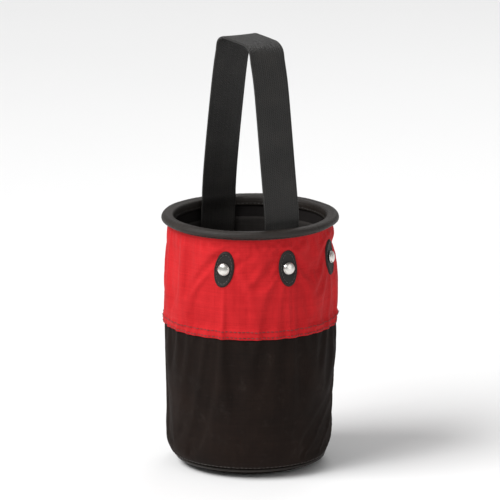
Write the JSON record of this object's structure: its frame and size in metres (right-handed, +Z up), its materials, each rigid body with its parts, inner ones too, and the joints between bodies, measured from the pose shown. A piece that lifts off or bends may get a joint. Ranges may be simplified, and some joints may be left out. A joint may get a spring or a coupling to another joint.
{
  "type": "tool bucket organizer",
  "caption": "Round fabric tool bucket with a stiffened wall, contrast upper band, inner pocket ring, riveted patches and a webbing handle that hangs it on a bar.",
  "frame": {"origin": "centre of the flat base, where the bucket stands", "axes": "+Z up, -Y the front, the handle's ends at +X and -X, the closing seam at +Y"},
  "size_m": [0.174, 0.174, 0.424],
  "materials": {
    "canvas_black": "heavy plain-weave polyester canvas, charcoal black, matt",
    "canvas_red": "heavy plain-weave polyester canvas, bright red, matt with a soft sheen",
    "binding": "folded black edge tape, fine rib, slight sheen",
    "webbing": "black woven webbing, matt",
    "lining": "thin black lining cloth",
    "pocket_cloth": "black pocket cloth, plain weave",
    "stiffener_sheet": "dark plastic sheet",
    "hoop_wire": "drawn spring wire",
    "nickel": "nickel plated, bright, lightly worn"
  },
  "bodies": {
    "bucket": {"anchor_tab_left": "webbing", "anchor_tab_right": "webbing", "back_seam_tape": "binding", "base_board": "stiffener_sheet", "base_liner": "lining", "bottom_panel": "canvas_black", "bottom_piping": "binding", "inner_liner": "lining", "lower_wall_panel": "canvas_black", "pocket_binding": "binding", "pocket_ring": "pocket_cloth", "rim_binding": "binding", "rim_hoop": "hoop_wire", "rivet_back_left": "nickel", "rivet_back_right": "nickel", "rivet_front_left": "nickel", "rivet_front_right": "nickel", "rivet_left": "nickel", "rivet_patch_back_left": "binding", "rivet_patch_back_right": "binding", "rivet_patch_front_left": "binding", "rivet_patch_front_right": "binding", "rivet_patch_left": "binding", "rivet_patch_right": "binding", "rivet_right": "nickel", "upper_band_panel": "canvas_red", "wall_stiffener": "stiffener_sheet"},
    "handle": {"handle_strap": "webbing"}
  },
  "joints": [
    {"name": "handle_swing", "type": "hinge", "parent": "bucket", "child": "handle", "pos_m": [0, 0, 0.253], "axis": [1, 0, 0], "range_deg": [-65, 65]}
  ]
}
